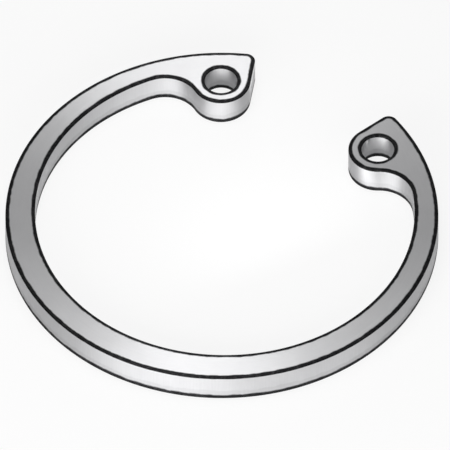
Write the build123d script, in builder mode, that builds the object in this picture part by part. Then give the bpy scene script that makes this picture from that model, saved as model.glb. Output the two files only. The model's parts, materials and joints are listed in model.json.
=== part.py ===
from build123d import *
import os
from math import asin, cos, degrees, radians

# Internal retaining ring for a 26 mm housing bore, stamped in one piece from spring steel
# and drawn free, before it is squeezed into its groove. Sizes are in millimetres and degrees.
# The origin is the centre of the outside circle on the lower face, +Z runs along the ring's
# axis, and the gap between the two lugs faces +Y.

# Driving sizes
outside_diameter = 27.9
thickness = 2.0
band_width_back = 2.1  # opposite the gap, where the band is widest
band_width_front = 1.35  # what the taper would come down to in the middle of the gap
gap_angle = 41.8  # between the two lug ends, seen from the origin
plier_hole_diameter = 2.1
wall_inside_hole = 0.85  # from a plier hole to the nose of its lug
wall_outside_hole = 1.35  # from a plier hole to the outside circle
root_radius = 2.2  # in the corner where a lug's nose runs into the band
tip_radius = 0.6  # on the outer corner of each lug end
edge_break = 0.1  # taken off by tumbling, on every edge of both flat faces

# The inside circle sits off centre towards the gap, which makes the band taper both ways
outside_radius = outside_diameter / 2
inside_radius = outside_radius - (band_width_back + band_width_front) / 2
inside_offset = (band_width_back - band_width_front) / 2

# Each lug's nose is round about its plier hole, and its end is cut straight towards the
# ring's axis, just touching the nose, so the hole's angle follows from the gap
hole_radius = plier_hole_diameter / 2
nose_radius = hole_radius + wall_inside_hole
pitch_radius = outside_radius - wall_outside_hole - hole_radius
half_gap = gap_angle / 2
hole_from_end = degrees(asin(nose_radius / pitch_radius))
hole_angle = half_gap + hole_from_end


def from_gap(radius, angle):
    """The point at a radius, and at an angle clockwise from the middle of the gap."""
    return Vector(0, radius).rotate(Axis.Z, -angle)


hole_centre = from_gap(pitch_radius, hole_angle)
nose_meets_end = from_gap(pitch_radius * cos(radians(hole_from_end)), half_gap)

# One lug: a round nose, and the metal between it and the outside circle
with BuildSketch() as lug:
    with BuildLine():
        rim = CenterArc((0, 0), outside_radius, 90 - hole_angle, hole_from_end)
        Polyline(rim @ 1, nose_meets_end, hole_centre, rim @ 0)
    make_face()
    with Locations(hole_centre):
        Circle(nose_radius)
    Circle(outside_radius, mode=Mode.INTERSECT)

with BuildPart() as retaining_ring:
    with BuildSketch() as outline:
        # Tapered band, open between the lug ends
        Circle(outside_radius)
        with Locations((0, inside_offset)):
            Circle(inside_radius, mode=Mode.SUBTRACT)
        with BuildLine():
            beyond_rim = outside_diameter
            Polyline((0, 0), from_gap(beyond_rim, half_gap), from_gap(beyond_rim, -half_gap), close=True)
        make_face(mode=Mode.SUBTRACT)

        # Both lugs
        add(lug.sketch)
        mirror(lug.sketch, about=Plane.YZ)

        # The lug roots are the corners furthest to each side, and the tips are the highest
        by_side = outline.vertices().group_by(Axis.X)
        fillet(by_side[0] + by_side[-1], root_radius)
        fillet(outline.vertices().group_by(Axis.Y)[-1], tip_radius)
    extrude(amount=thickness)

    # Plier holes
    with PolarLocations(pitch_radius, 2, 90 - hole_angle, 2 * hole_angle, endpoint=True):
        Hole(hole_radius)

    # Tumbled edges
    flat_faces = retaining_ring.faces().filter_by(Axis.Z)
    chamfer(flat_faces.edges(), edge_break)

retaining_ring.part.label = "retaining_ring"
os.makedirs("parts", exist_ok=True)
export_step(retaining_ring.part, "parts/retaining_ring.step")
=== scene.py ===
"""Internal retaining ring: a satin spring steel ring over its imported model, on a pale studio floor."""
import json
from math import acos, ceil, cos, hypot, pi, radians, sin, sqrt

import bmesh
import bpy
from bpy.props import FloatProperty, FloatVectorProperty, IntProperty, PointerProperty
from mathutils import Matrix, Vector


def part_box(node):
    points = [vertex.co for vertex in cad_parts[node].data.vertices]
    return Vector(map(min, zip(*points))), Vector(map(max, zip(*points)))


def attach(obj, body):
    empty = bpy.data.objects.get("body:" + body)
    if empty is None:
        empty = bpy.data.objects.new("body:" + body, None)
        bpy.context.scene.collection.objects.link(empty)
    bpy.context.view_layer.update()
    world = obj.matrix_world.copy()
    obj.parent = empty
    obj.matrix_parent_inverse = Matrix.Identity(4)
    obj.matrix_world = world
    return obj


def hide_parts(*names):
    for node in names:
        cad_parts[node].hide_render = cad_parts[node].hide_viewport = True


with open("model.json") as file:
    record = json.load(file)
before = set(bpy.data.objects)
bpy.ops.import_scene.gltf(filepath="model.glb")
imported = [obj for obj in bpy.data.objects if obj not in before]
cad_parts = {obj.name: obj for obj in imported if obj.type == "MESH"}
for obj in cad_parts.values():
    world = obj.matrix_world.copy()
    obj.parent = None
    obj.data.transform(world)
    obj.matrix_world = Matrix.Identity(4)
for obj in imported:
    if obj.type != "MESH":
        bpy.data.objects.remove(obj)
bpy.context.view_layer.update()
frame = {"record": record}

bl_info = {
    "name": "Internal Retaining Ring",
    "version": (1, 0, 0),
    "blender": (4, 5, 0),
    "location": "3D View > Sidebar > Retaining Ring",
    "description": "Makes a stamped internal retaining ring in satin spring steel, and its studio",
    "category": "Add Mesh",
}

NODE = "retaining_ring"
MM = 0.001  # of Blender's metre

# Arcs are drawn with short chords, of at most this turn and this length
ARC_TURN = radians(4)
ARC_CHORD = 0.25 * MM

# The dark line, painted shade along every edge: the share of its width that is fully dark, and how
# dull it is; and how many of its widths on a face the lip has room for
LINE_CORE = 0.65
LINE_ROUGHNESS = 0.85
LIP_ROOM = 1.3

# The floor: half its width, how far it lies under the ring, and how white it stays to the camera and
# in the steel, whatever light falls on it
FLOOR_HALF = 0.6
FLOOR_GAP = 0.005 * MM
WHITE_SEEN = 0.85
WHITE_IN_STEEL = 0.6

# In the picture, the ring's centre on its upper face stands left of the middle and above it
CAMERA_DISTANCE = 0.3
CENTRE_LEFT = 0.2023 * MM
CENTRE_ABOVE = 0.6295 * MM

mounts = {mount["name"]: mount for mount in frame["record"]["mounts"]}
ring_low, ring_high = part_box(NODE)
rim = mounts["groove_rim"]["dims"]
plier_hole = mounts["plier_hole_right"]


# Sizes, colours and light that a user would change

class RingSizes(bpy.types.PropertyGroup):
    """The ring's sizes, free, before it is squeezed into its groove"""

    outside_radius: FloatProperty(
        name="Outside Radius", description="Of the round rim that springs into the groove",
        default=rim["r_mm"] * MM, min=0.002, unit="LENGTH", precision=5)
    thickness: FloatProperty(
        name="Thickness", description="Of the steel strip",
        default=ring_high.z - ring_low.z, min=0.0003, unit="LENGTH", precision=5)
    band_back: FloatProperty(
        name="Band at the Back", description="Width of the band opposite the gap, where it is widest",
        default=2.1 * MM, min=0.0002, unit="LENGTH", precision=5)
    band_front: FloatProperty(
        name="Band at the Gap", description="Width that the taper would come down to amid the gap",
        default=1.35 * MM, min=0.0002, unit="LENGTH", precision=5)
    gap_angle: FloatProperty(
        name="Gap", description="Angle between the two lug ends, seen from the ring's centre",
        default=radians(41.8), min=radians(5), max=radians(120), subtype="ANGLE", unit="ROTATION")
    hole_radius: FloatProperty(
        name="Plier Hole Radius", description="Of the round hole through each lug",
        default=plier_hole["dims"]["r_mm"] * MM, min=0.0001, unit="LENGTH", precision=5)
    hole_across: FloatProperty(
        name="Plier Hole Across", description="From the middle of the gap sideways to each plier hole",
        default=plier_hole["pos_m"][0], min=0.0005, unit="LENGTH", precision=5)
    hole_along: FloatProperty(
        name="Plier Hole Along", description="From the ring's centre towards the gap to the plier holes",
        default=plier_hole["pos_m"][1], min=0.0005, unit="LENGTH", precision=5)
    nose_wall: FloatProperty(
        name="Nose Wall", description="Metal between a plier hole and the round nose of its lug",
        default=0.85 * MM, min=0.0001, unit="LENGTH", precision=5)
    root_radius: FloatProperty(
        name="Lug Root", description="Radius of the hollow where a lug runs into the band",
        default=2.2 * MM, min=0.0001, unit="LENGTH", precision=5)
    tip_radius: FloatProperty(
        name="Lug Tip", description="Radius of the outer corner of each lug end",
        default=0.6 * MM, min=0.0001, unit="LENGTH", precision=5)
    edge_radius: FloatProperty(
        name="Tumbled Edge", description="Radius that tumbling leaves along every edge",
        default=0.1 * MM, min=0.00001, unit="LENGTH", precision=5)
    edge_steps: IntProperty(
        name="Edge Steps", description="Points that each tumbled edge is rounded with",
        default=7, min=1, max=16)


class SteelFinish(bpy.types.PropertyGroup):
    """The colours and marks of the satin spring steel, and the dark line of painted shade in its edges"""

    steel: FloatVectorProperty(
        name="Steel", description="Colour of the bright satin steel",
        default=(0.70, 0.70, 0.71), min=0, max=1, size=3, subtype="COLOR")
    # Edge and the line widths below paint shade: a dark line along every tumbled edge, reaching farthest up
    # the wall from the foot; it is not a colour the steel has
    edge: FloatVectorProperty(
        name="Edge", description="Colour of the dark line that painted shade leaves in the tumbled edges",
        default=(0.022, 0.022, 0.024), min=0, max=1, size=3, subtype="COLOR")
    line_on_face: FloatProperty(
        name="Line on Face", description="How far the dark line reaches from an edge onto a flat face",
        default=0.28 * MM, min=0, unit="LENGTH", precision=5)
    line_on_wall: FloatProperty(
        name="Line on Wall", description="How far the dark line reaches from an upper edge down the wall",
        default=0.09 * MM, min=0, unit="LENGTH", precision=5)
    line_at_foot: FloatProperty(
        name="Line at Foot", description="How far the dark line reaches from a lower edge up the torn wall",
        default=0.43 * MM, min=0, unit="LENGTH", precision=5)
    face_roughness: FloatProperty(
        name="Face Roughness", description="Of the two flat faces",
        default=0.39, min=0, max=1, subtype="FACTOR")
    wall_roughness: FloatProperty(
        name="Wall Roughness", description="Of the punched walls",
        default=0.60, min=0, max=1, subtype="FACTOR")


class StudioSettings(bpy.types.PropertyGroup):
    """The floor, the lamps and the camera"""

    azimuth: FloatProperty(
        name="Azimuth", description="Camera's turn round the ring from straight opposite the gap",
        default=radians(30.1), subtype="ANGLE", unit="ROTATION")
    elevation: FloatProperty(
        name="Elevation", description="Camera's height above the floor, as an angle",
        default=radians(48.9), subtype="ANGLE", unit="ROTATION")
    frame_width: FloatProperty(
        name="Frame Width", description="Width that the camera takes in",
        default=28.995 * MM, min=0.001, unit="LENGTH", precision=5)
    floor_colour: FloatVectorProperty(
        name="Floor", description="Colour of the pale floor", default=(0.95, 0.95, 0.95),
        min=0, max=1, size=3, subtype="COLOR")
    overhead: FloatProperty(
        name="Overhead Box", description="Brightness of the soft lamp straight over the ring",
        default=2.0, min=0)
    back_high: FloatProperty(
        name="High Back Box", description="Brightness of the soft lamp high beyond the ring",
        default=1.35, min=0)
    back_low: FloatProperty(
        name="Low Back Box", description="Brightness of the soft lamp low beyond the ring",
        default=2.4, min=0)
    front_left: FloatProperty(
        name="Left Front Box", description="Brightness of the wide soft lamp below the camera, to its left",
        default=4.6, min=0)
    front_middle: FloatProperty(
        name="Middle Front Box", description="Brightness of the narrow soft lamp below the camera",
        default=1.7, min=0)
    front_right: FloatProperty(
        name="Right Front Box", description="Brightness of the soft lamp below the camera, to its right",
        default=1.45, min=0)
    inside: FloatProperty(
        name="Inside Box", description="Brightness of the small soft lamp over the opening",
        default=2.2, min=0)
    room: FloatProperty(
        name="Room", description="Brightness of the even light from all round",
        default=0.20, min=0)


# Building node trees

def find_socket(sockets, key):
    """A socket by its number, its identifier or its name."""
    if isinstance(key, int):
        return sockets[key]
    return next((socket for socket in sockets if socket.identifier == key), None) or sockets[key]


def add_node(tree, kind, sockets=None, **settings):
    """A node right of those it takes from, with its settings made and its inputs linked or set."""
    node = tree.nodes.new(kind)
    for name, value in settings.items():
        setattr(node, name, value)
    column = 0
    for key, value in (sockets or {}).items():
        socket = find_socket(node.inputs, key)
        if isinstance(value, bpy.types.NodeSocket):
            tree.links.new(value, socket)
            column = max(column, round(value.node.location.x / 220) + 1)
        else:
            socket.default_value = value
    row = sum(1 for other in tree.nodes if round(other.location.x / 220) == column and other != node)
    node.location = (220 * column, -260 * row)
    return node


def add_math(tree, operation, *values):
    """The result of a Math node."""
    return add_node(tree, "ShaderNodeMath", dict(enumerate(values)), operation=operation).outputs[0]


def blend_value(tree, factor, a, b):
    """A value from a to b by a factor."""
    sockets = {"Factor_Float": factor, "A_Float": a, "B_Float": b}
    return add_node(tree, "ShaderNodeMix", sockets, data_type="FLOAT").outputs[0]


def blend_colour(tree, factor, a, b, blend_type="MIX"):
    """A colour from a to b by a factor."""
    sockets = {"Factor_Float": factor, "A_Color": a, "B_Color": b}
    return add_node(tree, "ShaderNodeMix", sockets, data_type="RGBA", blend_type=blend_type).outputs[2]


def ramp(tree, value, low, high, at_low=0.0, at_high=1.0):
    """A soft step of a value, from at_low to at_high."""
    sockets = {"Value": value, "From Min": low, "From Max": high, "To Min": at_low, "To Max": at_high}
    return add_node(tree, "ShaderNodeMapRange", sockets, interpolation_type="SMOOTHSTEP").outputs[0]


def noise(tree, vector, scale, detail=2.0, roughness=0.5):
    """A noise value about 0.5."""
    sockets = {"Vector": vector, "Scale": scale, "Detail": detail, "Roughness": roughness}
    return add_node(tree, "ShaderNodeTexNoise", sockets).outputs[0]


def sway(tree, value, swing, base):
    """A base value that a noise value about 0.5 moves up and down by half of the swing."""
    return add_math(tree, "MULTIPLY_ADD", add_math(tree, "SUBTRACT", value, 0.5), swing, base)


def new_group(name, kind, inputs, outputs):
    """An empty node group with named sockets, and its input node."""
    tree = bpy.data.node_groups.new(name, kind)
    for direction, sockets in (("INPUT", inputs), ("OUTPUT", outputs)):
        for label, socket_type, default in sockets:
            socket = tree.interface.new_socket(label, in_out=direction, socket_type=socket_type)
            if default is not None:
                socket.default_value = default
    return tree, tree.nodes.new("NodeGroupInput").outputs


def place_group(tree, group, sockets):
    """A node group placed in a material, with its own values."""
    return add_node(tree, "ShaderNodeGroup", sockets, node_tree=group).outputs


def new_material(name):
    """An empty node material and its tree."""
    material = bpy.data.materials.new(name)
    material.use_nodes = True
    material.node_tree.nodes.clear()
    return material, material.node_tree


# The outline of the ring

def arc(centre, radius, start, end):
    """Points on an arc from one point to another; it turns left if the radius is positive."""
    cx, cy = centre
    turn = 1 if radius > 0 else -1
    first = Vector((start[0] - cx, start[1] - cy))
    last = Vector((end[0] - cx, end[1] - cy))
    sweep = first.angle_signed(last) * -turn % (2 * pi)
    steps = max(2, ceil(sweep / min(ARC_TURN, ARC_CHORD / abs(radius))))
    points = []
    for i in range(steps + 1):
        angle = turn * sweep * i / steps
        points.append((cx + first.x * cos(angle) - first.y * sin(angle),
                       cy + first.x * sin(angle) + first.y * cos(angle)))
    return points


def towards(start, end, distance):
    """The point at a distance from start, on the line to end."""
    share = distance / hypot(end[0] - start[0], end[1] - start[1])
    return (start[0] + share * (end[0] - start[0]), start[1] + share * (end[1] - start[1]))


def circles_meet(a, radius_a, b, radius_b):
    """Where two circles cross, on the left hand of the way from a to b."""
    gap = hypot(b[0] - a[0], b[1] - a[1])
    if not abs(radius_a - radius_b) < gap < radius_a + radius_b:
        raise ValueError("the lug's root doesn't reach the band: change its radius or the nose wall")
    turn = acos((radius_a ** 2 + gap ** 2 - radius_b ** 2) / (2 * radius_a * gap))
    across, along = (b[0] - a[0]) / gap, (b[1] - a[1]) / gap
    return (a[0] + radius_a * (across * cos(turn) - along * sin(turn)),
            a[1] + radius_a * (along * cos(turn) + across * sin(turn)))


def ring_outline(sizes):
    """The closed outline, anticlockwise: the rim, a lug, the inside circle and the other lug."""
    rim_radius = sizes.outside_radius
    inside_radius = rim_radius - (sizes.band_back + sizes.band_front) / 2
    middle = (0.0, 0.0)
    inside = (0.0, (sizes.band_back - sizes.band_front) / 2)
    hole = (sizes.hole_across, sizes.hole_along)
    nose_radius = sizes.hole_radius + sizes.nose_wall
    end_way = (sin(sizes.gap_angle / 2), cos(sizes.gap_angle / 2))
    end_side = (end_way[1], -end_way[0])

    # The straight end touches the nose, and the tip is rounded between the end and the rim
    reach = hole[0] * end_way[0] + hole[1] * end_way[1]
    nose_start = (reach * end_way[0], reach * end_way[1])
    reach = sqrt((rim_radius - sizes.tip_radius) ** 2 - sizes.tip_radius ** 2)
    end_top = (reach * end_way[0], reach * end_way[1])
    tip = (end_top[0] + sizes.tip_radius * end_side[0], end_top[1] + sizes.tip_radius * end_side[1])
    rim_end = towards(middle, tip, rim_radius)

    # The root is hollow between the nose and the inside circle
    root = circles_meet(hole, nose_radius + sizes.root_radius, inside, inside_radius - sizes.root_radius)
    if root[0] < hole[0]:
        raise ValueError("the lug's root falls on the wrong side of the lug")
    nose_end = towards(hole, root, nose_radius)
    band_start = towards(inside, root, inside_radius)

    half = arc(middle, rim_radius, (0, -rim_radius), rim_end)
    half += arc(tip, sizes.tip_radius, rim_end, end_top)[1:]
    half += arc(hole, nose_radius, nose_start, nose_end)
    half += arc(root, -sizes.root_radius, nose_end, band_start)[1:]
    half += arc(inside, -inside_radius, band_start, (0, inside[1] - inside_radius))[1:]
    return half + [(-x, y) for x, y in reversed(half[1:-1])]


def hole_outline(sizes, side):
    """A plier hole's edge, clockwise, so that the metal lies to the left all the way."""
    centre = (side * sizes.hole_across, sizes.hole_along)
    top = (centre[0], centre[1] + sizes.hole_radius)
    bottom = (centre[0], centre[1] - sizes.hole_radius)
    right_half = arc(centre, -sizes.hole_radius, top, bottom)[:-1]
    left_half = arc(centre, -sizes.hole_radius, bottom, top)[:-1]
    return right_half + left_half


def outline_curve(name, outlines):
    """A curve object of closed outlines on the floor plane."""
    curve = bpy.data.curves.new(name, "CURVE")
    curve.dimensions = "3D"
    for points in outlines:
        spline = curve.splines.new("POLY")
        spline.points.add(len(points) - 1)
        for point, (x, y) in zip(spline.points, points):
            point.co = (x, y, 0, 1)
        spline.use_cyclic_u = True
    return bpy.data.objects.new(name, curve)


# The strip's section, swept along the outlines

def punched_strip_tree():
    """Sweeps a wall with two tumbled edges along each outline, and fills both flat faces."""
    tree, sizes = new_group(
        "Punched strip", "GeometryNodeTree",
        [("Outlines", "NodeSocketGeometry", None), ("Thickness", "NodeSocketFloat", 2.0 * MM),
         ("Edge Radius", "NodeSocketFloat", 0.1 * MM), ("Lip", "NodeSocketFloat", 0.4 * MM),
         ("Edge Steps", "NodeSocketInt", 7), ("Steel", "NodeSocketMaterial", None)],
        [("Ring", "NodeSocketGeometry", None)])

    def node(kind, sockets=None, **settings):
        return add_node(tree, kind, sockets, **settings)

    def math(operation, *values):
        return add_math(tree, operation, *values)

    def corner(x, y):
        return node("ShaderNodeCombineXYZ", {"X": x, "Y": y}).outputs[0]

    # The section runs up from the lower lip's foot: its X points out of the metal, its Y down
    outlines = node("GeometryNodeSetCurveNormal", {"Curve": sizes["Outlines"]}, mode="Z_UP").outputs[0]
    inward = math("MULTIPLY", sizes["Lip"], -1)
    up = math("MULTIPLY", sizes["Thickness"], -1)
    box = node("GeometryNodeCurvePrimitiveQuadrilateral",
               {"Point 1": corner(inward, 0), "Point 2": corner(0, 0), "Point 3": corner(0, up),
                "Point 4": corner(inward, up)}, mode="POINTS").outputs[0]
    section = node("GeometryNodeSetSplineCyclic", {"Geometry": box, "Cyclic": False}).outputs[0]
    section = node("GeometryNodeFilletCurve", {"Curve": section, "Count": sizes["Edge Steps"],
                                               "Radius": sizes["Edge Radius"]}, mode="POLY").outputs[0]

    # One more row halfway up the wall, so that the distance from the edge is right all over it
    place = node("ShaderNodeSeparateXYZ", {0: node("GeometryNodeInputPosition").outputs[0]}).outputs
    just_inside, half_up = -0.001 * MM, math("MULTIPLY", up, 0.5)
    on_wall = node("FunctionNodeCompare", {"A": place["X"], "B": just_inside}, operation="GREATER_THAN")
    below = node("FunctionNodeCompare", {"A": place["Y"], "B": half_up}, operation="GREATER_THAN")
    cuts = node("FunctionNodeBooleanMath", {0: on_wall.outputs[0], 1: below.outputs[0]},
                operation="AND").outputs[0]
    section = node("GeometryNodeSubdivideCurve", {"Curve": section, "Cuts": cuts}).outputs[0]

    # How far each point is from the middle of its edge: less than none on a face, more on a wall
    way = node("GeometryNodeSplineParameter").outputs["Length"]
    whole = node("GeometryNodeSplineLength").outputs["Length"]
    from_lip = math("MINIMUM", way, math("SUBTRACT", whole, way))
    to_edge = math("SUBTRACT", sizes["Lip"], math("MULTIPLY", sizes["Edge Radius"], 1 - pi / 4))
    section = node("GeometryNodeStoreNamedAttribute",
                   {"Geometry": section, "Name": "from_edge",
                    "Value": math("SUBTRACT", from_lip, to_edge)}).outputs[0]
    walls = node("GeometryNodeCurveToMesh", {"Curve": outlines, "Profile Curve": section}).outputs[0]

    # Both flat faces, inside the lips
    shift = node("ShaderNodeVectorMath", {0: node("GeometryNodeInputNormal").outputs[0], "Scale": inward},
                 operation="SCALE").outputs[0]
    face_edge = node("GeometryNodeSetPosition", {"Geometry": outlines, "Offset": shift}).outputs[0]
    face = node("GeometryNodeFillCurve", {"Curve": face_edge}, mode="TRIANGLES").outputs[0]
    face = node("GeometryNodeStoreNamedAttribute",
                {"Geometry": face, "Name": "from_edge", "Value": math("MULTIPLY", to_edge, -1)}).outputs[0]
    raised = node("ShaderNodeCombineXYZ", {"Z": sizes["Thickness"]}).outputs[0]
    upper = node("GeometryNodeTransform", {"Geometry": face, "Translation": raised}).outputs[0]
    lower = node("GeometryNodeFlipFaces", {"Mesh": face}).outputs[0]

    joined = node("GeometryNodeJoinGeometry", {"Geometry": walls})
    tree.links.new(upper, joined.inputs[0])
    tree.links.new(lower, joined.inputs[0])
    weld = {"Geometry": joined.outputs[0], "Distance": 0.002 * MM}
    ring = node("GeometryNodeMergeByDistance", weld).outputs[0]
    ring = node("GeometryNodeSetShadeSmooth", {"Geometry": ring}).outputs[0]
    ring = node("GeometryNodeRealizeInstances", {"Geometry": ring}).outputs[0]
    ring = node("GeometryNodeSetMaterial", {"Geometry": ring, "Material": sizes["Steel"]}).outputs[0]
    node("NodeGroupOutput", {"Ring": ring})
    return tree


def add_tree(piece, tree, values):
    """Puts a geometry tree on an object and sets its named inputs."""
    modifier = piece.modifiers.new(tree.name, "NODES")
    modifier.node_group = tree
    for item in tree.interface.items_tree:
        if item.in_out == "INPUT" and item.name in values:
            modifier[item.identifier] = values[item.name]


def plain_piece(source, name):
    """The evaluated object as a plain closed mesh object, facing outwards; the source is removed."""
    bpy.context.view_layer.update()
    depsgraph = bpy.context.evaluated_depsgraph_get()
    mesh = bpy.data.meshes.new_from_object(source.evaluated_get(depsgraph), depsgraph=depsgraph)
    shape = bmesh.new()
    shape.from_mesh(mesh)
    bmesh.ops.recalc_face_normals(shape, faces=shape.faces)
    if any(len(edge.link_faces) != 2 for edge in shape.edges):
        raise RuntimeError("the ring's surface isn't closed: its lip is too wide for the band")
    shape.to_mesh(mesh)
    shape.free()
    mesh.name = name
    piece = bpy.data.objects.new(name, mesh)
    bpy.context.scene.collection.objects.link(piece)
    bpy.data.objects.remove(source)
    return piece


# The steel

def edge_group():
    """Masks of the painted shade line in the edges and of the punched walls, from the distance to the edge.
    """
    tree, inputs = new_group(
        "Tumbled edges", "ShaderNodeTree",
        [("Vector", "NodeSocketVector", None), ("From Edge", "NodeSocketFloat", 0.0),
         ("Height", "NodeSocketFloat", 0.0), ("On Face", "NodeSocketFloat", 0.2),
         ("On Wall", "NodeSocketFloat", 0.2), ("At Foot", "NodeSocketFloat", 0.3),
         ("Worn", "NodeSocketFloat", 0.95)],
        [("Line", "NodeSocketFloat", None), ("Wall", "NodeSocketFloat", None)])
    wall = ramp(tree, inputs["From Edge"], -0.05, 0.05)
    on_wall = ramp(tree, inputs["Height"], 0.4, 0.6, inputs["At Foot"], inputs["On Wall"])
    width = blend_value(tree, wall, inputs["On Face"], on_wall)
    wander = ramp(tree, noise(tree, inputs["Vector"], 1.5, 2.0), 0.3, 0.7, 0.9, 1.08)
    width = add_math(tree, "MULTIPLY", width, wander)
    core = add_math(tree, "MULTIPLY", width, LINE_CORE)
    line = ramp(tree, add_math(tree, "ABSOLUTE", inputs["From Edge"]), core, width, 1.0, 0.0)
    # The painted shade line is thinned a little in patches by noise
    patchy_shade = ramp(tree, noise(tree, inputs["Vector"], 3.5, 4.0, 0.6), 0.45, 0.7, 1.0, inputs["Worn"])
    line = add_math(tree, "MULTIPLY", line, patchy_shade)
    add_node(tree, "NodeGroupOutput", {"Line": line, "Wall": wall})
    return tree


def satin_group():
    """The fine satin of tumbled faces: a grain round the ring, small dents and slow changes of tone."""
    tree, inputs = new_group(
        "Tumbled satin", "ShaderNodeTree",
        [("Vector", "NodeSocketVector", None), ("Grain Width", "NodeSocketFloat", 0.05),
         ("Grain Length", "NodeSocketFloat", 2.0)],
        [("Grain", "NodeSocketFloat", None), ("Dents", "NodeSocketFloat", None),
         ("Tone", "NodeSocketFloat", None)])

    # The noise is slow in X and Y, and its Z is the distance from the ring's axis, over which it is fast
    place = add_node(tree, "ShaderNodeSeparateXYZ", {0: inputs["Vector"]}).outputs
    flat = add_node(tree, "ShaderNodeCombineXYZ", {"X": place["X"], "Y": place["Y"]}).outputs[0]
    radius = add_node(tree, "ShaderNodeVectorMath", {0: flat}, operation="LENGTH").outputs["Value"]
    stretched = add_node(tree, "ShaderNodeCombineXYZ", {
        "X": add_math(tree, "DIVIDE", place["X"], inputs["Grain Length"]),
        "Y": add_math(tree, "DIVIDE", place["Y"], inputs["Grain Length"]),
        "Z": add_math(tree, "DIVIDE", radius, inputs["Grain Width"])}).outputs[0]
    grain = noise(tree, stretched, 1.0, 3.0, 0.6)
    dents = noise(tree, inputs["Vector"], 7.0, 3.0, 0.6)
    tone = noise(tree, inputs["Vector"], 0.45, 3.0, 0.55)
    add_node(tree, "NodeGroupOutput", {"Grain": grain, "Dents": dents, "Tone": tone})
    return tree


def punched_group():
    """Streaks that the punch draws down the walls, and the rougher band where the strip tore."""
    tree, inputs = new_group(
        "Punched walls", "ShaderNodeTree",
        [("Vector", "NodeSocketVector", None), ("Height", "NodeSocketFloat", 0.0),
         ("Streak Width", "NodeSocketFloat", 0.09)],
        [("Streaks", "NodeSocketFloat", None), ("Torn", "NodeSocketFloat", None)])
    narrow = add_math(tree, "DIVIDE", 1.0, inputs["Streak Width"])
    stretch = add_node(tree, "ShaderNodeCombineXYZ", {"X": narrow, "Y": narrow, "Z": 0.7}).outputs[0]
    drawn = add_node(tree, "ShaderNodeVectorMath", {0: inputs["Vector"], 1: stretch}, operation="MULTIPLY")
    streaks = noise(tree, drawn.outputs[0], 1.0, 3.0, 0.55)
    wander = add_math(tree, "MULTIPLY_ADD", noise(tree, inputs["Vector"], 1.1, 3.0), 0.24, inputs["Height"])
    torn = ramp(tree, wander, 0.46, 0.54, 1.0, 0.0)
    add_node(tree, "NodeGroupOutput", {"Streaks": streaks, "Torn": torn})
    return tree


def satin_steel(sizes, finish):
    """Satin spring steel: bright faces and walls, painted shade as a dark line in the edges, a trace of
    oil.
    """
    material, tree = new_material("Satin spring steel")

    def math(operation, *values):
        return add_math(tree, operation, *values)

    # Every length in the groups is in millimetres
    metres = add_node(tree, "ShaderNodeTexCoord").outputs["Object"]
    scaled = add_node(tree, "ShaderNodeVectorMath", {0: metres, "Scale": 1 / MM}, operation="SCALE")
    place = scaled.outputs[0]
    from_edge = add_node(tree, "ShaderNodeAttribute", attribute_name="from_edge").outputs["Fac"]
    z = add_node(tree, "ShaderNodeSeparateXYZ", {0: place}).outputs["Z"]
    height = math("DIVIDE", z, sizes.thickness / MM)
    edges = place_group(tree, edge_group(), {
        "Vector": place, "From Edge": math("MULTIPLY", from_edge, 1 / MM), "Height": height,
        "On Face": finish.line_on_face / MM, "On Wall": finish.line_on_wall / MM,
        "At Foot": finish.line_at_foot / MM})
    satin = place_group(tree, satin_group(), {"Vector": place})
    punched = place_group(tree, punched_group(), {"Vector": place, "Height": height})

    # Colour: slow and fine changes of the steel's own tone, then the dark line of painted shade in the
    # edges
    tone = sway(tree, satin["Tone"], 0.12, 1.0)
    face_tone = sway(tree, satin["Grain"], 0.10, tone)
    wall_tone = sway(tree, punched["Streaks"], 0.14, tone)
    wall_tone = math("MULTIPLY_ADD", punched["Torn"], -0.05, wall_tone)
    tone = blend_value(tree, edges["Wall"], face_tone, wall_tone)
    grey = add_node(tree, "ShaderNodeCombineColor", {0: tone, 1: tone, 2: tone}).outputs[0]
    colour = blend_colour(tree, 1.0, (*finish.steel, 1), grey, "MULTIPLY")
    colour = blend_colour(tree, edges["Line"], colour, (*finish.edge, 1))

    # Roughness: the satin varies with its dents, the torn band and the dark line are duller
    face_rough = sway(tree, satin["Dents"], 0.16, finish.face_roughness)
    face_rough = sway(tree, satin["Grain"], 0.10, face_rough)
    wall_rough = math("MULTIPLY_ADD", punched["Torn"], 0.07, finish.wall_roughness)
    wall_rough = sway(tree, punched["Streaks"], 0.12, wall_rough)
    rough = blend_value(tree, edges["Wall"], face_rough, wall_rough)
    rough = blend_value(tree, edges["Line"], rough, LINE_ROUGHNESS)

    # Relief: grain and dents on the faces, streaks on the walls
    face_height = math("MULTIPLY_ADD", satin["Dents"], 1.6, satin["Grain"])
    relief = blend_value(tree, edges["Wall"], face_height, math("MULTIPLY", punched["Streaks"], 1.5))
    bump = add_node(tree, "ShaderNodeBump", {"Height": relief, "Strength": 0.6, "Distance": 0.002 * MM})

    # The grain runs round the ring, so the gloss spreads across it; the oil is a thin patchy coat
    round_ring = add_node(tree, "ShaderNodeTangent", direction_type="RADIAL", axis="Z").outputs[0]
    oil = ramp(tree, noise(tree, place, 0.8, 2.0), 0.35, 0.75, 0.05, 0.25)
    shader = add_node(tree, "ShaderNodeBsdfPrincipled", {
        "Base Color": colour, "Metallic": 1.0, "Roughness": rough, "Normal": bump.outputs[0],
        "Anisotropic": 0.85, "Anisotropic Rotation": 0.25, "Tangent": round_ring,
        "Coat Weight": oil, "Coat Roughness": 0.2, "Coat IOR": 1.45})
    add_node(tree, "ShaderNodeOutputMaterial", {"Surface": shader.outputs[0]})
    return material


# The studio

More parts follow.
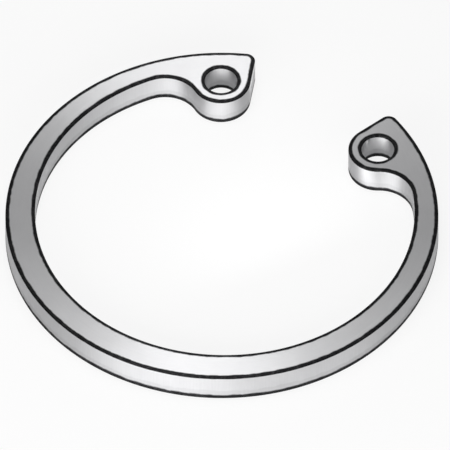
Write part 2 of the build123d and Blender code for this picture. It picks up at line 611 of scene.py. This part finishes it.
def pale_floor(studio):
    """White to the camera and in reflections, and still taking the ring's soft shadow."""
    material, tree = new_material("Pale floor")
    place = add_node(tree, "ShaderNodeTexCoord").outputs["Object"]
    grain = ramp(tree, noise(tree, place, 900.0, 3.0), 0.3, 0.7)
    darker = [0.99 * channel for channel in studio.floor_colour]
    colour = blend_colour(tree, grain, (*darker, 1), (*studio.floor_colour, 1))
    matt = add_node(tree, "ShaderNodeBsdfPrincipled", {"Base Color": colour, "Roughness": 0.9}).outputs[0]
    white = add_node(tree, "ShaderNodeEmission", {"Color": (1, 1, 1, 1), "Strength": 1.0}).outputs[0]
    seen = add_node(tree, "ShaderNodeLightPath").outputs
    to_camera = add_math(tree, "MULTIPLY", seen["Is Camera Ray"], WHITE_SEEN)
    to_steel = add_math(tree, "MULTIPLY", seen["Is Glossy Ray"], WHITE_IN_STEEL)
    share = add_math(tree, "MAXIMUM", to_camera, to_steel)
    lit = add_node(tree, "ShaderNodeMixShader", {0: share, 1: matt, 2: white}).outputs[0]

    # From underneath the camera looks through it
    below = add_node(tree, "ShaderNodeNewGeometry").outputs["Backfacing"]
    hidden = add_math(tree, "MULTIPLY", below, seen["Is Camera Ray"])
    clear = add_node(tree, "ShaderNodeBsdfTransparent").outputs[0]
    surface = add_node(tree, "ShaderNodeMixShader", {0: hidden, 1: lit, 2: clear}).outputs[0]
    add_node(tree, "ShaderNodeOutputMaterial", {"Surface": surface})
    return material


def make_floor(studio):
    """A wide flat floor just under the ring."""
    shape = bmesh.new()
    bmesh.ops.create_grid(shape, x_segments=8, y_segments=8, size=FLOOR_HALF)
    for vertex in shape.verts:
        vertex.co.z = ring_low.z - FLOOR_GAP
    mesh = bpy.data.meshes.new("studio_floor")
    shape.to_mesh(mesh)
    shape.free()
    floor = bpy.data.objects.new("studio_floor", mesh)
    mesh.materials.append(pale_floor(studio))
    bpy.context.scene.collection.objects.link(floor)


def add_lamp(name, place, aim, size, strength):
    """A soft rectangular lamp, as bright at any size; strength 1 is as bright as lit white paper."""
    light = bpy.data.lights.new(name, "AREA")
    light.shape = "RECTANGLE"
    light.size, light.size_y = size
    light.energy = strength * pi * size[0] * size[1]
    lamp = bpy.data.objects.new(name, light)
    lamp.location = place
    lamp.rotation_euler = (aim - place).to_track_quat("-Z", "Y").to_euler()
    lamp.visible_camera = False
    bpy.context.scene.collection.objects.link(lamp)


def make_lamps(studio):
    """Three soft boxes in a row from overhead down beyond the ring, three low in front, one inside."""
    right = Vector((cos(studio.azimuth), sin(studio.azimuth), 0))
    far = Vector((-sin(studio.azimuth), cos(studio.azimuth), 0))
    up = Vector((0, 0, 1))
    left_of_centre = -4.0 * MM * right

    # Azimuths turn from the far side to the right, as the camera sees it; lengths are in millimetres
    for name, azimuth, elevation, distance, width, height, strength in (
            ("overhead_box", 0, 89, 60, 30, 30, studio.overhead),
            ("high_back_box", 0, 62, 80, 30, 30, studio.back_high),
            ("low_back_box", 0, 30, 80, 30, 30, studio.back_low),
            ("left_front_box", 203, 22, 100, 110, 50, studio.front_left),
            ("middle_front_box", 160, 22, 100, 46, 50, studio.front_middle),
            ("right_front_box", 131, 22, 100, 70, 50, studio.front_right)):
        azimuth, elevation = radians(azimuth), radians(elevation)
        away = (far * cos(azimuth) + right * sin(azimuth)) * cos(elevation) + up * sin(elevation)
        place = left_of_centre + distance * MM * away
        add_lamp(name, place, left_of_centre, (width * MM, height * MM), strength)

    # Over the opening, right of its middle, and turned to the inner wall at the back
    place = MM * (3.5 * right - 1.0 * far + 6.0 * up)
    inner_wall = MM * (-3.0 * right + 11.0 * far + 1.0 * up)
    add_lamp("inside_box", place, inner_wall, (10 * MM, 5 * MM), studio.inside)


def make_room(studio):
    """An even dim room, white where the camera sees it."""
    world = bpy.data.worlds.new("Studio room")
    bpy.context.scene.world = world
    world.use_nodes = True
    tree = world.node_tree
    tree.nodes.clear()
    seen = add_node(tree, "ShaderNodeLightPath").outputs["Is Camera Ray"]
    strength = blend_value(tree, seen, studio.room, 1.0)
    light = add_node(tree, "ShaderNodeBackground", {"Color": (1, 1, 1, 1), "Strength": strength}).outputs[0]
    add_node(tree, "ShaderNodeOutputWorld", {"Surface": light})


def make_camera(studio):
    """A camera that keeps parallel lines parallel, as the drawing does."""
    turn, rise = studio.azimuth, studio.elevation
    right = Vector((cos(turn), sin(turn), 0))
    back = Vector((sin(turn) * cos(rise), -cos(turn) * cos(rise), sin(rise)))
    up = back.cross(right)
    data = bpy.data.cameras.new("camera")
    data.type = "ORTHO"
    data.ortho_scale = studio.frame_width
    data.clip_start, data.clip_end = 0.001, 3
    camera = bpy.data.objects.new("camera", data)
    aim = Vector((0, 0, ring_high.z)) + CENTRE_LEFT * right - CENTRE_ABOVE * up
    camera.location = aim + CAMERA_DISTANCE * back
    camera.rotation_euler = (-back).to_track_quat("-Z", "Y").to_euler()
    bpy.context.scene.collection.objects.link(camera)
    bpy.context.scene.camera = camera


# Operators and panel

class RING_OT_make(bpy.types.Operator):
    """Make the retaining ring from its sizes and dress it in satin spring steel"""

    bl_idname = "retaining_ring.make"
    bl_label = "Make Retaining Ring"
    bl_options = {"REGISTER", "UNDO"}

    def execute(self, context):
        sizes, finish = context.scene.ring_sizes, context.scene.steel_finish
        outlines = [ring_outline(sizes), hole_outline(sizes, -1), hole_outline(sizes, 1)]
        source = outline_curve("ring_outlines", outlines)
        context.scene.collection.objects.link(source)

        # The lip beside each edge is wide enough for the rounding and for the whole dark line
        lip = max(2 * sizes.edge_radius, LIP_ROOM * finish.line_on_face)
        add_tree(source, punched_strip_tree(), {
            "Thickness": sizes.thickness, "Edge Radius": sizes.edge_radius, "Lip": lip,
            "Edge Steps": sizes.edge_steps, "Steel": satin_steel(sizes, finish)})
        ring = plain_piece(source, "satin_steel_ring")
        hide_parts(NODE)
        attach(ring, "root")
        return {"FINISHED"}


class RING_OT_stage(bpy.types.Operator):
    """Set up the pale floor, the soft lamps, the room and the camera"""

    bl_idname = "retaining_ring.stage"
    bl_label = "Set Up Studio"
    bl_options = {"REGISTER", "UNDO"}

    def execute(self, context):
        studio = context.scene.ring_studio
        make_floor(studio)
        make_room(studio)
        make_lamps(studio)
        make_camera(studio)
        context.scene.view_settings.view_transform = "Standard"
        return {"FINISHED"}


class RING_PT_panel(bpy.types.Panel):
    """Sizes, finish and studio of the retaining ring"""

    bl_idname = "RING_PT_panel"
    bl_label = "Retaining Ring"
    bl_space_type = "VIEW_3D"
    bl_region_type = "UI"
    bl_category = "Retaining Ring"

    def draw(self, context):
        for settings, operator in ((context.scene.ring_sizes, None),
                                   (context.scene.steel_finish, RING_OT_make.bl_idname),
                                   (context.scene.ring_studio, RING_OT_stage.bl_idname)):
            column = self.layout.column(align=True)
            for name in settings.__annotations__:
                column.prop(settings, name)
            if operator:
                self.layout.operator(operator)


classes = (RingSizes, SteelFinish, StudioSettings, RING_OT_make, RING_OT_stage, RING_PT_panel)


def register():
    for cls in classes:
        bpy.utils.register_class(cls)
    bpy.types.Scene.ring_sizes = PointerProperty(type=RingSizes)
    bpy.types.Scene.steel_finish = PointerProperty(type=SteelFinish)
    bpy.types.Scene.ring_studio = PointerProperty(type=StudioSettings)


def unregister():
    del bpy.types.Scene.ring_sizes, bpy.types.Scene.steel_finish, bpy.types.Scene.ring_studio
    for cls in reversed(classes):
        bpy.utils.unregister_class(cls)


def main():
    """Makes the ring and its studio."""
    register()
    bpy.ops.retaining_ring.make()
    bpy.ops.retaining_ring.stage()


if __name__ == "__main__":
    main()
